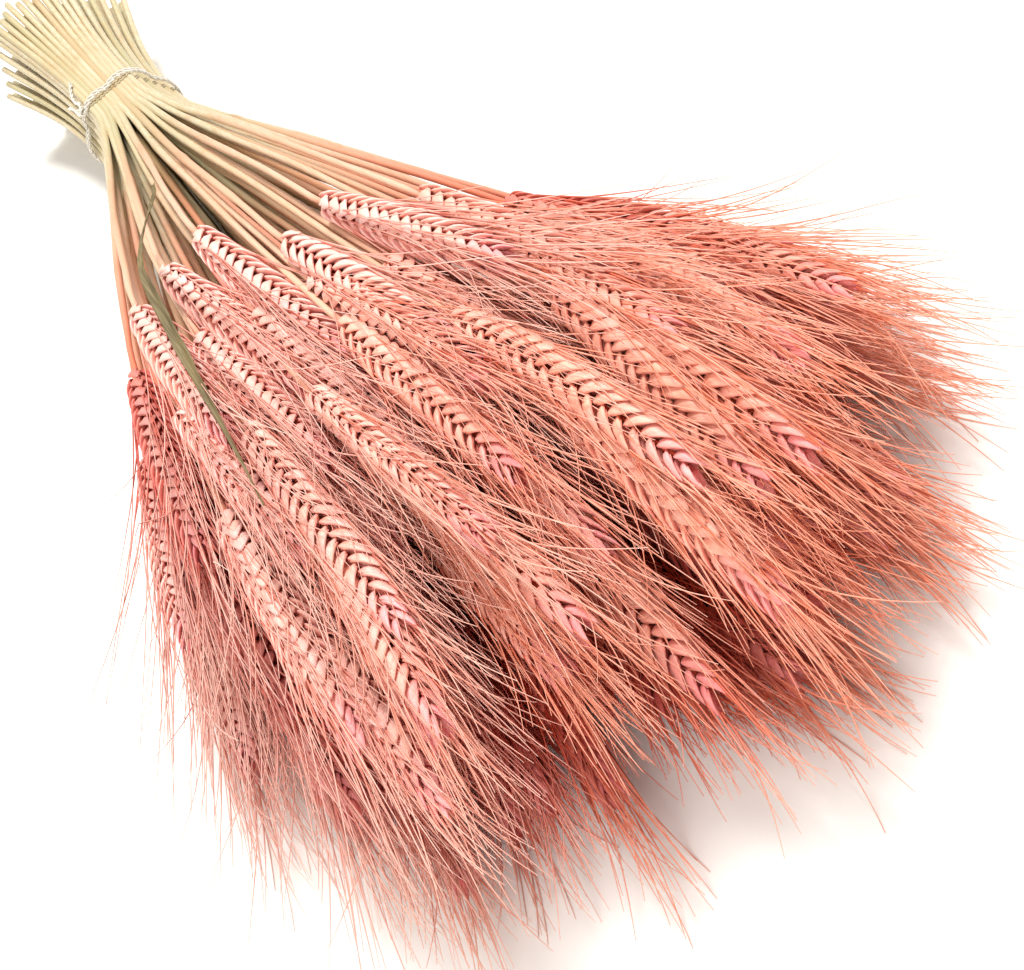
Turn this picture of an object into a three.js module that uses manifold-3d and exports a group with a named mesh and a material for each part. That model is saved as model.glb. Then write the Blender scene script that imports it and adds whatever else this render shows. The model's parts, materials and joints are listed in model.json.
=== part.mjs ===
// A tied bundle of dried, bearded triticale, lying on its side.
// Millimetres. +X runs from the cut ends to the awn tips, +Y across the bundle, +Z up. The origin is the
// middle of the bundle's footprint. Each stalk is one solid: straw, ear, and awns drawn into a slender tuft.

import * as THREE from "three";
import { mergeVertices } from "three/addons/utils/BufferGeometryUtils.js";
import Module from "manifold-3d";

// --- Driving dimensions --------------------------------------------------------------------------

const tieToCutEnds = 92; // the twine sits this far from the cut ends
const tieToFirstEar = 174; // from the twine to the ear that starts first
const earStagger = 160; // how much further along the last ear starts
const lateSide = 0.36; // share of that by which the first ears start later on the +Y side of the fan
const soonerLeft = 0.6; // share by which the ears of the fan's -Y edge start sooner than its middle's
const soonerRight = 0.6; // the same at the +Y edge

const strawDiameter = 3.8; // at the cut ends and under the twine
const strawGap = 0.3; // clear space between neighbours under the twine
const jointSwelling = 0.35; // how far a straw's joint stands out
const neckDiameter = 2.2; // where the straw meets the ear

const earLength = 90;
const earWidth = 11.6;
const earThickness = 8.6;
const awnReach = 62; // awn tips past the end of the ear
const awnTuftDiameter = 3.6; // of the awns where they are drawn together past the ear

const stalkRings = 5; // lattice steps from the middle stalk to the outermost
const hiddenRings = 3; // stalks in the inner rings aren't modelled: the outer ones hide them
const earGap = 4.2; // clear space between neighbours of one row where the first ears lie
const fanCurve = 300; // the fan opens ever less over this distance; larger is straighter
const rowNesting = 2.2; // how far the ears of one row sink between those of the next
const tipHeight = 34; // height of the heap at the awn tips
const fanSway = 6; // the fan bends this far to -Y and back to +Y
const swayLength = 480; // over this distance
const cutSplay = 29; // how much further the outermost straws reach sideways at the cut ends
const cutRise = 20; // the same, upwards

const gripLength = 11; // the twine holds the straws straight this far to either side of it

const twineDiameter = 2;
const twineTurns = 2;
const twineGap = 0.4; // between the twine and the outermost straws, and between its turns
const knotAngle = 128; // degrees round the bundle from +Y
const knotLength = 7.5;
const knotThickness = 4.6;
const tailLength = 23;

const leafStart = 150; // from the twine to the joint that the leaf grows from
const leafLength = 152;
const leafWidth = 5.2;
const leafThickness = 0.6;
const leafGap = 0.6; // between the leaf and the straws and ears that it lies on

// --- Worked out from the driving dimensions ------------------------------------------------------

const strawRadius = strawDiameter / 2;
const twineRadius = twineDiameter / 2;
const tiedReach = stalkRings * (strawDiameter + strawGap); // from the middle stalk to the outermost, tied
const rowHeight = Math.sqrt(3) / 2; // of a triangular lattice with a step of 1
const pileHeight = (2 * stalkRings * (earThickness - rowNesting)) / rowHeight;
const settleStart = 17 * strawDiameter; // by here the fan gives every straw room to shift
const firstEarWide = tieToFirstEar + 0.3 * earLength; // where the first ears are at their widest
const fanReach = (stalkRings * (earWidth + earGap)) / (1 - Math.exp(-firstEarWide / fanCurve));
const lastEarEnd = tieToFirstEar + earStagger + earLength;
const bundleTip = lastEarEnd + awnReach;

const { clamp, degToRad, lerp, smoothstep } = THREE.MathUtils;

// A repeatable number from 0 to 1 for stalk i and purpose k.
function scatter(i, k) {
  const wave = Math.sin(i * 12.9898 + k * 78.233) * 43758.5453;
  return wave - Math.floor(wave);
}

function isBetween(value, low, high) {
  return value > low && value <= high;
}

// --- Where the stalks run ------------------------------------------------------------------------

// Under the twine the stalks stand in a triangular lattice. across and up are shares of its reach.
function latticeSlots() {
  const slots = [];
  const rows = Math.floor(stalkRings / rowHeight);
  const slack = 0.01;
  for (let row = -rows; row <= rows; row++) {
    for (let column = -stalkRings; column <= stalkRings; column++) {
      const across = column + (row % 2 === 0 ? 0 : 0.5);
      const up = row * rowHeight;
      if (!isBetween(Math.hypot(across, up), hiddenRings + slack, stalkRings + slack)) continue;
      slots.push({ row, column, across: across / stalkRings, up: up / stalkRings });
    }
  }
  return slots;
}

// From the middle of the bundle to its outermost stalk, sideways, at a distance along it from the twine.
function halfWidth(along) {
  const loose = Math.max(0, Math.abs(along) - gripLength);
  const fan = fanReach * (1 - Math.exp(-loose / fanCurve));
  const splay = (cutSplay * loose) / (tieToCutEnds - gripLength);
  return Math.hypot(tiedReach, along > 0 ? fan : splay);
}

// From the lowest stalk to the highest.
function heapHeight(along) {
  const loose = Math.max(0, Math.abs(along) - gripLength);
  if (along < 0) return 2 * Math.hypot(tiedReach, (cutRise * loose) / (tieToCutEnds - gripLength));
  const raised = lerp(2 * tiedReach, pileHeight, smoothstep(along, gripLength, tieToFirstEar));
  return lerp(raised, tipHeight, smoothstep(along, lastEarEnd - earLength, bundleTip));
}

// Height of the lowest stalk: it lies over the twine at the tie, and half an ear up where the ears lie.
function lowestMiddle(along) {
  const nearTie = 1 - smoothstep(Math.abs(along), gripLength, 7 * gripLength);
  const overTwine = (twineDiameter + twineGap) * nearTie;
  const overEar = smoothstep(along, 0.4 * tieToFirstEar, tieToFirstEar) * (earWidth / 2 - strawRadius);
  return strawRadius + overTwine + overEar;
}

// How far the round section of the tied bundle has settled to a dome on a flat foot: 0 to 1.
function settled(along) {
  return smoothstep(along, settleStart, tieToFirstEar);
}

// The whole fan's shift to +Y.
function sway(along) {
  return -fanSway * Math.sin((2 * Math.PI * clamp(along - gripLength, 0, 0.75 * swayLength)) / swayLength);
}

// The middle of a slot's stalk at a distance along the bundle.
function route(slot, along) {
  const dome = Math.sqrt(Math.max(0, 1 - slot.across ** 2));
  const rise = (slot.up + lerp(1, dome, settled(along))) / 2;
  const height = lowestMiddle(along) + heapHeight(along) * clamp(rise, 0, 1);
  return new THREE.Vector3(along, halfWidth(along) * slot.across + sway(along), height);
}

// --- Stalks --------------------------------------------------------------------------------------

// Where the ear starts. Even rows start late, so that stacked ears lie past each other. The sides of the fan
// end sooner than its middle, and its -Y side soonest.
function earStart(slot, i) {
  const isLate = slot.row % 2 === 0;
  const early = lerp(0, 0.3, scatter(i, 4)) + lateSide * smoothstep(slot.across, 0, 0.5);
  const late = lerp(0.62, 1, scatter(i, 4));
  const sooner = (slot.across > 0 ? soonerRight : soonerLeft) * slot.across ** 2;
  return tieToFirstEar + earStagger * (isLate ? late : early) * (1 - sooner);
}

// Radius against distance along the bundle, starting and ending on the axis.
function stalkProfile(start, cut, joint) {
  const neck = neckDiameter / 2;
  const ear = earWidth / 2;
  const tuft = awnTuftDiameter / 2;
  const end = start + earLength;
  const besideJoint = strawRadius - jointSwelling;
  const outline = [
    [0, cut],
    [strawRadius, cut],
    [strawRadius, -0.55 * tieToCutEnds],
    [strawRadius, -gripLength],
    [strawRadius, gripLength],
    [lerp(strawRadius, besideJoint, 0.5), lerp(gripLength, joint, 0.5)],
    [besideJoint, joint - 2.5],
    [strawRadius, joint],
    [besideJoint, joint + 2.5],
    [lerp(besideJoint, neck, 0.6), lerp(joint, start, 0.6)],
    [neck, start],
    [ear * 0.78, start + earLength * 0.12],
    [ear, start + earLength * 0.34],
    [ear * 0.88, start + earLength * 0.7],
    [tuft, end],
    [tuft * 0.75, end + awnReach * 0.45],
    [0, end + awnReach],
  ];
  return outline.map(([radius, along]) => new THREE.Vector2(radius, along));
}

// Ears are thinner than they are wide. This is 1 on the straw and on the awns.
function flatness(start, along) {
  const end = start + earLength;
  const onEar = smoothstep(along, start, start + 10) * (1 - smoothstep(along, end - 12, end));
  return lerp(1, earThickness / earWidth, onEar);
}

// The profile is turned about an axis, and its rings are then carried along the slot's route.
function stalk(slot, i) {
  const start = earStart(slot, i);
  const cut = -tieToCutEnds * lerp(0.94, 1.04, scatter(i, 1));
  const joint = tieToFirstEar * lerp(0.4, 0.7, scatter(i, 6));
  const roll = degToRad(lerp(-20, 20, scatter(i, 2)));
  const held = route(slot, 0);
  const geometry = new THREE.LatheGeometry(stalkProfile(start, cut, joint), 6);
  const position = geometry.getAttribute("position");
  for (let k = 0; k < position.count; k++) {
    const along = position.getY(k);
    const wide = position.getZ(k);
    const thick = position.getX(k) * flatness(start, along);
    const middle = route(slot, along).sub(held);
    position.setXYZ(
      k,
      middle.x,
      middle.y + wide * Math.cos(roll) - thick * Math.sin(roll),
      middle.z + wide * Math.sin(roll) + thick * Math.cos(roll),
    );
  }
  const color = new THREE.Color(0xe59a8a).lerp(new THREE.Color(0xf2b6b0), scatter(i, 5));
  const material = new THREE.MeshStandardMaterial({ color, roughness: 0.8, metalness: 0 });
  const mesh = new THREE.Mesh(geometry, material);
  mesh.name = "stalk_" + String(i + 1).padStart(2, "0");
  mesh.position.copy(held);
  return mesh;
}

// --- Twine ---------------------------------------------------------------------------------------

const wasm = await Module();
wasm.setup();

function toSolid(geometry) {
  const bare = geometry.clone();
  bare.deleteAttribute("normal");
  bare.deleteAttribute("uv");
  const merged = mergeVertices(bare, 1e-4);
  return new wasm.Manifold(
    new wasm.Mesh({
      numProp: 3,
      vertProperties: new Float32Array(merged.getAttribute("position").array),
      triVerts: new Uint32Array(merged.index.array),
    }),
  );
}

function toGeometry(solid) {
  const mesh = solid.getMesh();
  const geometry = new THREE.BufferGeometry();
  geometry.setAttribute("position", new THREE.BufferAttribute(mesh.vertProperties, 3));
  geometry.setIndex(new THREE.BufferAttribute(mesh.triVerts, 1));
  return geometry;
}

// A point clear of the outermost straws, at an angle round the bundle.
function aroundBundle(angle, along, clear) {
  const across = halfWidth(along) + strawRadius + clear;
  const high = heapHeight(along) / 2 + strawRadius + clear;
  const middle = lowestMiddle(along) + heapHeight(along) / 2;
  return new THREE.Vector3(along, across * Math.cos(angle), middle + high * Math.sin(angle));
}

function cord(points, steps) {
  const section = new THREE.Shape();
  section.absarc(0, 0, twineRadius, 0, 2 * Math.PI, false);
  return new THREE.ExtrudeGeometry(section, {
    steps,
    curveSegments: 4,
    bevelEnabled: false,
    extrudePath: new THREE.CatmullRomCurve3(points),
  });
}

function twine() {
  const clear = twineGap + twineRadius;
  const knotAt = degToRad(knotAngle);
  const turnPitch = twineDiameter + twineGap;
  const stepsPerTurn = 26;
  const wrap = [];
  for (let k = 0; k <= twineTurns * stepsPerTurn; k++) {
    const turn = k / stepsPerTurn;
    wrap.push(aroundBundle(knotAt + 2 * Math.PI * turn, turnPitch * (turn - twineTurns / 2), clear));
  }
  const knotMiddle = aroundBundle(knotAt, 0, twineGap + knotThickness / 2);
  const knot = new THREE.SphereGeometry(1, 10, 7);
  knot.scale(knotLength / 2, knotThickness / 2, knotThickness / 2);
  knot.rotateX(knotAt);
  knot.translate(knotMiddle.x, knotMiddle.y, knotMiddle.z);
  let solid = toSolid(cord(wrap, wrap.length - 1)).add(toSolid(knot));
  for (const side of [-1, 1]) {
    const tail = [0, 0.35, 0.7, 1].map((share) => {
      const angle = knotAt + side * (0.06 + 0.22 * share);
      return aroundBundle(angle, -tailLength * share, clear + 0.6);
    });
    solid = solid.add(toSolid(cord(tail, 8)));
  }
  const material = new THREE.MeshStandardMaterial({ color: 0xe6e1d4, roughness: 0.9, metalness: 0 });
  const mesh = new THREE.Mesh(toGeometry(solid), material);
  mesh.name = "twine";
  return mesh;
}

// --- Leaf ----------------------------------------------------------------------------------------

// A point over the highest stalks. across is a share of the half width.
function overHeap(across, along, clear) {
  const slot = { across, up: Math.sqrt(1 - across ** 2) };
  return route(slot, along).add(new THREE.Vector3(0, 0, clear));
}

// A blade that narrows to its base and its tip. It leaves the straws and lies over the ears of the -Y side.
function leaf() {
  const geometry = new THREE.BoxGeometry(leafLength, leafWidth, leafThickness, 24, 1, 1);
  const position = geometry.getAttribute("position");
  for (let k = 0; k < position.count; k++) {
    const share = position.getX(k) / leafLength + 0.5;
    const base = lerp(0.35, 1, smoothstep(share, 0.1, 0.35));
    const tip = lerp(1, 0.12, smoothstep(share, 0.45, 1));
    const across = lerp(-0.1, lerp(-0.34, -0.47, share), smoothstep(share, 0, 0.25));
    const under = lerp(strawRadius, earWidth / 2, smoothstep(share, 0, 0.3));
    const clear = under + leafGap + leafThickness / 2 + position.getZ(k);
    const middle = overHeap(across, leafStart + leafLength * share, clear);
    const side = position.getY(k) * base * tip;
    position.setXYZ(k, middle.x, middle.y + side, middle.z - across * side);
  }
  const material = new THREE.MeshStandardMaterial({ color: 0x9a8a5c, roughness: 0.8, metalness: 0 });
  const mesh = new THREE.Mesh(geometry, material);
  mesh.name = "dry_leaf";
  return mesh;
}

// --- The bundle ----------------------------------------------------------------------------------

const bundle = new THREE.Group();
latticeSlots().forEach((slot, i) => bundle.add(stalk(slot, i)));
bundle.add(twine());
bundle.add(leaf());

// The origin is the middle of the footprint, on the surface that the bundle lies on.
const extent = new THREE.Box3().setFromObject(bundle, true);
const middle = extent.getCenter(new THREE.Vector3());
bundle.position.set(-middle.x, -middle.y, -extent.min.z);

export default bundle;
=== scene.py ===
import json
import math
import random

import bpy
import numpy as np
from mathutils import Matrix, Vector

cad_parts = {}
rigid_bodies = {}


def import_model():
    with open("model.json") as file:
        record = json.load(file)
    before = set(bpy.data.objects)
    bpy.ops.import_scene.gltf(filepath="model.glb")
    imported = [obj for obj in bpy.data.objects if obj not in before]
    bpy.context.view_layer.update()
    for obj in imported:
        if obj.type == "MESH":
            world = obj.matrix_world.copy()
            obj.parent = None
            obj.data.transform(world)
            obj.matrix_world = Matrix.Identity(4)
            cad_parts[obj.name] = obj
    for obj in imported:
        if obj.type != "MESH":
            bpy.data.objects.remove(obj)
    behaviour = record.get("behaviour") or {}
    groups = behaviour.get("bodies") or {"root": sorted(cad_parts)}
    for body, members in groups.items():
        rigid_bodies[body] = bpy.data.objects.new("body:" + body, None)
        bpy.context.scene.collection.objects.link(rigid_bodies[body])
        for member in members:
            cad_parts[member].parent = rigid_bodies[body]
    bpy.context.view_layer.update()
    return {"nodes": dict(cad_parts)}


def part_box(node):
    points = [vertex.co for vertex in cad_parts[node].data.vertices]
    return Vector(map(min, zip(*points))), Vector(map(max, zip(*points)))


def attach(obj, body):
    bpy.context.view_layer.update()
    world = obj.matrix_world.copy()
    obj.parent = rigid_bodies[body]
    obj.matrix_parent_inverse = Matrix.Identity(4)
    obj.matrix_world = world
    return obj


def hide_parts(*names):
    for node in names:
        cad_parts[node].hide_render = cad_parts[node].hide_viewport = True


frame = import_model()
print("frame loaded:", len(frame["nodes"]), "nodes")

scene = bpy.context.scene
mm = 0.001
ringGap = 0.02 * mm  # a node's points that are nearer than this along X are in one ring


def plainMesh(name, points, faces, edges=()):
    mesh = bpy.data.meshes.new(name)
    mesh.from_pydata([tuple(p) for p in points], list(edges), list(faces))
    mesh.update()
    return mesh


def newObject(name, mesh):
    made = bpy.data.objects.new(name, mesh)
    scene.collection.objects.link(made)
    return made


def ringPoints(nodeName):
    # the node was made ring by ring along X: each ring's points, in metres
    mesh = frame["nodes"][nodeName].data
    flat = np.empty(len(mesh.vertices) * 3)
    mesh.vertices.foreach_get("co", flat)
    points = flat.reshape(-1, 3)
    key = np.round(points[:, 0] / ringGap)
    return [points[key == k] for k in np.unique(key)]


def ringsAlong(nodeName):
    # the middle and the radius of each ring
    rings = []
    for ring in ringPoints(nodeName):
        low = ring.min(axis=0)
        high = ring.max(axis=0)
        rings.append((*((low + high) / 2), (high - low)[1:].max() / 2))
    return np.array(rings)


class Tree:
    # a short way to write node trees
    def __init__(self, name, inputs):
        self.group = bpy.data.node_groups.new(name, "GeometryNodeTree")
        self.ids = {}
        sockets = self.group.interface
        sockets.new_socket("Geometry", in_out="INPUT", socket_type="NodeSocketGeometry")
        for label, kind, value in inputs:
            socket = sockets.new_socket(label, in_out="INPUT", socket_type="NodeSocket" + kind)
            if value is not None:
                socket.default_value = value
            self.ids[label] = socket.identifier
        sockets.new_socket("Geometry", in_out="OUTPUT", socket_type="NodeSocketGeometry")
        self.source = self.group.nodes.new("NodeGroupInput")
        self.sink = self.group.nodes.new("NodeGroupOutput")

    def given(self, label):
        return self.source.outputs[label]

    def node(self, kind, settings=None, **inputs):
        made = self.group.nodes.new(kind)
        for key, value in (settings or {}).items():
            setattr(made, key, value)
        for key, value in inputs.items():
            self.feed(made, key, value)
        return made

    def made(self, kind, settings=None, **inputs):
        return self.node(kind, settings, **inputs).outputs[0]

    def feed(self, made, key, value):
        # i0 is the first input; any other key is an input's name, with _ for a space
        numbered = key[0] == "i" and key[1:].isdigit()
        socket = made.inputs[int(key[1:]) if numbered else key.replace("_", " ")]
        if isinstance(value, bpy.types.NodeSocket):
            self.group.links.new(value, socket)
        else:
            socket.default_value = value

    def math(self, operation, a, b=0.0, c=0.0):
        return self.made("ShaderNodeMath", {"operation": operation}, i0=a, i1=b, i2=c)

    def times(self, a, b):
        return self.math("MULTIPLY", a, b)

    def timesPlus(self, a, b, c):
        return self.math("MULTIPLY_ADD", a, b, c)

    def minus(self, a, b):
        return self.math("SUBTRACT", a, b)

    def mapped(self, value, low, high, first=0.0, last=1.0, kind="LINEAR"):
        return self.made("ShaderNodeMapRange", {"interpolation_type": kind}, Value=value,
                         From_Min=low, From_Max=high, To_Min=first, To_Max=last)

    def vector(self, x=0.0, y=0.0, z=0.0):
        return self.made("ShaderNodeCombineXYZ", X=x, Y=y, Z=z)

    def vectorMath(self, operation, a, b=(0.0, 0.0, 0.0)):
        return self.made("ShaderNodeVectorMath", {"operation": operation}, i0=a, i1=b)

    def plus(self, a, b):
        return self.vectorMath("ADD", a, b)

    def scaled(self, a, by):
        return self.made("ShaderNodeVectorMath", {"operation": "SCALE"}, i0=a, Scale=by)

    def split(self, vector):
        return self.node("ShaderNodeSeparateXYZ", i0=vector).outputs

    def scatter(self, low, high, seed, key=None):
        made = self.node("FunctionNodeRandomValue", {"data_type": "FLOAT"}, Seed=seed)
        made.inputs[2].default_value = low
        made.inputs[3].default_value = high
        if key is not None:
            self.group.links.new(key, made.inputs["ID"])
        return made.outputs[1]

    def seed(self, offset):
        return self.math("ADD", self.given("Seed"), float(offset))

    def named(self, name):
        made = self.node("GeometryNodeInputNamedAttribute", {"data_type": "FLOAT"}, Name=name)
        return made.outputs["Attribute"]

    def store(self, geometry, name, value, domain="POINT"):
        return self.made("GeometryNodeStoreNamedAttribute", {"data_type": "FLOAT", "domain": domain},
                         Geometry=geometry, Name=name, Value=value)

    def moved(self, geometry, position):
        return self.made("GeometryNodeSetPosition", Geometry=geometry, Position=position)

    def shifted(self, geometry, offset):
        return self.made("GeometryNodeSetPosition", Geometry=geometry, Offset=offset)

    def turned(self, x=0.0, y=0.0, z=0.0):
        return self.made("FunctionNodeEulerToRotation", Euler=self.vector(x, y, z))

    def smooth(self, geometry):
        return self.made("GeometryNodeSetShadeSmooth", Geometry=geometry, Shade_Smooth=True)

    def realized(self, geometry):
        return self.made("GeometryNodeRealizeInstances", Geometry=geometry)

    def finished(self, geometry, label):
        return self.made("GeometryNodeSetMaterial", Geometry=geometry, Material=self.given(label))

    def tube(self, curve, sides, radius):
        ring = self.made("GeometryNodeCurvePrimitiveCircle", {"mode": "RADIUS"}, Resolution=sides, Radius=1.0)
        return self.made("GeometryNodeCurveToMesh", Curve=curve, Profile_Curve=ring, Scale=radius, Fill_Caps=True)

    def join(self, *parts):
        made = self.node("GeometryNodeJoinGeometry")
        for part in parts:
            self.group.links.new(part, made.inputs[0])
        return made.outputs[0]

    def finish(self, geometry):
        self.group.links.new(geometry, self.sink.inputs[0])
        return self


def grown(name, mesh, tree, values):
    # runs the tree on the mesh and keeps the result as a plain mesh
    holder = newObject(name + "Source", mesh)
    modifier = holder.modifiers.new("grow", "NODES")
    modifier.node_group = tree.group
    for label, value in values.items():
        modifier[tree.ids[label]] = value
    graph = bpy.context.evaluated_depsgraph_get()
    result = bpy.data.meshes.new_from_object(holder.evaluated_get(graph))
    result.name = name
    bpy.data.objects.remove(holder)
    indices = np.empty(len(result.polygons), dtype=np.int32)
    result.polygons.foreach_get("material_index", indices)
    for empty in reversed([i for i, m in enumerate(result.materials) if m is None]):
        result.materials.pop(index=empty)
        indices[indices > empty] -= 1
    result.polygons.foreach_set("material_index", indices)
    return newObject(name, result)


class Finish:
    # a short way to write materials
    def __init__(self, name):
        self.material = bpy.data.materials.new(name)
        self.material.use_nodes = True
        self.nodes = self.material.node_tree.nodes
        self.links = self.material.node_tree.links
        self.shader = self.nodes["Principled BSDF"]

    def attribute(self, name):
        made = self.nodes.new("ShaderNodeAttribute")
        made.attribute_name = name
        return made.outputs["Fac"]

    def ramp(self, factor, stops):
        made = self.nodes.new("ShaderNodeValToRGB")
        self.links.new(factor, made.inputs["Fac"])
        elements = made.color_ramp.elements
        while len(elements) < len(stops):
            elements.new(0.5)
        for element, (position, colour) in zip(elements, stops):
            element.position = position
            element.color = (*colour, 1)
        return made.outputs["Color"]

    def mask(self, factor, low, high, top=1.0):
        # nothing up to the low value, the top share from the high one on
        return self.ramp(factor, [(low, (0, 0, 0)), (high, (top, top, top))])

    def mixed(self, factor, a, b):
        made = self.nodes.new("ShaderNodeMix")
        made.data_type = "RGBA"
        for key, value in (("Factor", factor), ("A", a), ("B", b)):
            socket = made.inputs[key]
            if isinstance(value, bpy.types.NodeSocket):
                self.links.new(value, socket)
            else:
                socket.default_value = (*value, 1) if socket.type == "RGBA" else value
        return made.outputs["Result"]

    def noise(self, scale, detail=2.0, stretch=(1, 1, 1)):
        place = self.nodes.new("ShaderNodeTexCoord")
        mapping = self.nodes.new("ShaderNodeMapping")
        mapping.inputs["Scale"].default_value = stretch
        made = self.nodes.new("ShaderNodeTexNoise")
        made.inputs["Scale"].default_value = scale
        made.inputs["Detail"].default_value = detail
        self.links.new(place.outputs["Object"], mapping.inputs["Vector"])
        self.links.new(mapping.outputs["Vector"], made.inputs["Vector"])
        return made.outputs["Fac"]

    def times(self, value, factor):
        made = self.nodes.new("ShaderNodeMath")
        made.operation = "MULTIPLY"
        for socket, part in zip(made.inputs, (value, factor)):
            if isinstance(part, bpy.types.NodeSocket):
                self.links.new(part, socket)
            else:
                socket.default_value = part
        return made.outputs[0]

    def bumped(self, height, distance):
        made = self.nodes.new("ShaderNodeBump")
        made.inputs["Distance"].default_value = distance
        made.inputs["Strength"].default_value = 0.6
        self.links.new(height, made.inputs["Height"])
        self.links.new(made.outputs["Normal"], self.shader.inputs["Normal"])

    def done(self, colour, **fixed):
        # a number that is the same all over is set on the shader itself
        if isinstance(colour, bpy.types.NodeSocket):
            self.links.new(colour, self.shader.inputs["Base Color"])
        else:
            self.shader.inputs["Base Color"].default_value = (*colour, 1)
        for key, value in fixed.items():
            self.shader.inputs[key.replace("_", " ")].default_value = value
        return self.material


twineHalf = 3.65 * mm  # from the twine's far edge back to the middle of its turns
tieLow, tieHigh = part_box("twine")
tie = Vector((tieHigh.x - twineHalf, (tieLow.y + tieHigh.y) / 2, (tieLow.z + tieHigh.z) / 2))

viewShape = {  # the place is measured from the tie, the angles are in degrees
    "ahead": 572.35 * mm, "aside": -12.67 * mm, "height": 308.5 * mm,
    "pitch": 46.42, "yaw": -4.1, "roll": -38.64, "lens": 50.0, "sensor": 36, "clipStart": 0.01,
}


def addCamera():
    p, y, r = (math.radians(viewShape[k]) for k in ("pitch", "yaw", "roll"))
    gaze = Vector((-math.cos(p) * math.cos(y), -math.cos(p) * math.sin(y), -math.sin(p)))
    level = gaze.cross(Vector((0, 0, 1))).normalized()
    above = level.cross(gaze)
    right = math.cos(r) * level + math.sin(r) * above
    up = -math.sin(r) * level + math.cos(r) * above
    data = bpy.data.cameras.new("camera")
    data.sensor_width = viewShape["sensor"]
    data.lens = viewShape["lens"]
    data.clip_start = viewShape["clipStart"]
    camera = bpy.data.objects.new("camera", data)
    place = (tie.x + viewShape["ahead"], tie.y + viewShape["aside"], viewShape["height"])
    camera.matrix_world = Matrix((
        (right.x, up.x, -gaze.x, place[0]), (right.y, up.y, -gaze.y, place[1]),
        (right.z, up.z, -gaze.z, place[2]), (0, 0, 0, 1)))
    scene.collection.objects.link(camera)
    scene.camera = camera


lightShape = {
    "key": {"place": (-0.9, 0.68, 2.25), "size": 0.9, "power": 75, "colour": (1.0, 0.985, 0.96)},
    "fill": {"place": (0.9, -0.7, 1.1), "size": 1.2, "power": 16, "colour": (1.0, 0.97, 0.93)},
    "target": (0.05, 0, 0.03), "world": 0.44, "worldColour": (1.0, 0.95, 0.87),
}


def addLamp(name, place, size, power, colour):
    data = bpy.data.lights.new(name, "AREA")
    data.shape = "DISK"
    data.size = size
    data.energy = power
    data.color = colour
    lamp = bpy.data.objects.new(name, data)
    lamp.location = place
    lamp.rotation_euler = (Vector(lightShape["target"]) - Vector(place)).to_track_quat("-Z", "Y").to_euler()
    scene.collection.objects.link(lamp)


def addWorld():
    world = bpy.data.worlds.new("studio")
    world.use_nodes = True
    background = world.node_tree.nodes["Background"]
    background.inputs["Strength"].default_value = lightShape["world"]
    background.inputs["Color"].default_value = (*lightShape["worldColour"], 1)
    scene.world = world
    scene.view_settings.view_transform = "Standard"


floorLook = {"size": 12, "colour": (0.90, 0.895, 0.88), "roughness": 0.9, "specular": 0.1}


def addFloor():
    bpy.ops.mesh.primitive_plane_add(size=floorLook["size"])
    floor = bpy.context.object
    floor.name = "floor"
    floor.data.materials.append(Finish("paleFloor").done(
        floorLook["colour"], Roughness=floorLook["roughness"], Specular_IOR_Level=floorLook["specular"]))


addCamera()
for lampName in ("key", "fill"):
    addLamp(lampName + "Lamp", **lightShape[lampName])
addWorld()
addFloor()
print("camera, light and floor set")


# in each look a share says how much of a colour shows, a mask goes from nothing at its first value
# to its last share at the second, and a noise is its scale, detail and stretch

chaffLook = {
    "root": (0.62, 0.025, 0.01), "body": (0.92, 0.40, 0.31), "keel": (0.92, 0.68, 0.61),
    "tip": (0.93, 0.58, 0.55), "cool": (0.96, 0.56, 0.57), "warm": (0.92, 0.36, 0.20),
    "magenta": (0.93, 0.28, 0.38), "fleck": (0.93, 0.74, 0.67), "deepRedAndShade": (0.50, 0.03, 0.01),
    "bodyAt": 0.20, "keelAt": 0.48,
    "toneShare": 0.32, "warmShare": 0.6, "crownShare": 0.6, "insideShadeShare": 0.85,
    "rimShadeMask": (0.6, 1.0, 0.5), "fleckMask": (0.48, 0.80, 0.5), "veinEnds": (0.40, 0.62), "veinShare": 0.30,
    "fleckNoise": (300, 3.0, (0.5, 1, 1)), "veinNoise": (1400, 2.0, (0.10, 1, 1)),
    "roughness": 0.5, "sheen": 0.12, "bump": 0.3 * mm,
}


def makeChaff():
    # the husks: dark red at the root, partly dye and partly painted crevice shade, painted crevice shade at the
    # rims, pale along the keel
    look = chaffLook
    f = Finish("dyedChaff")
    # the root colour is dark red partly from dye that gathers there and partly as painted crevice shade
    along = f.ramp(f.attribute("along"), [
        (0.0, look["root"]), (look["bodyAt"], look["body"]), (look["keelAt"], look["keel"]),
        (1.0, look["tip"])])
    tone = f.mixed(f.attribute("tone"), look["cool"], look["warm"])
    colour = f.mixed(look["toneShare"], along, tone)
    warmth = f.times(f.attribute("warmth"), look["warmShare"])
    colour = f.mixed(warmth, colour, look["warm"])
    crown = f.times(f.attribute("crown"), look["crownShare"])
    colour = f.mixed(crown, colour, look["magenta"])
    # painted crevice shade: the husk's rims and underside take the dark root red
    rim = f.mask(f.attribute("rim"), *look["rimShadeMask"])
    colour = f.mixed(rim, colour, look["root"])
    fleck = f.mask(f.noise(*look["fleckNoise"]), *look["fleckMask"])
    colour = f.mixed(fleck, colour, look["fleck"])
    veins = f.noise(*look["veinNoise"])
    low, high = look["veinEnds"]
    vein = f.ramp(veins, [(low, (look["veinShare"],) * 3), (high, (0, 0, 0))])
    colour = f.mixed(vein, colour, look["body"])
    # painted shade: darker red inside the bundle
    depth = f.times(f.attribute("depth"), look["insideShadeShare"])
    f.bumped(veins, look["bump"])
    return f.done(f.mixed(depth, colour, look["deepRedAndShade"]), Roughness=look["roughness"], Sheen_Weight=look["sheen"])


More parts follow.
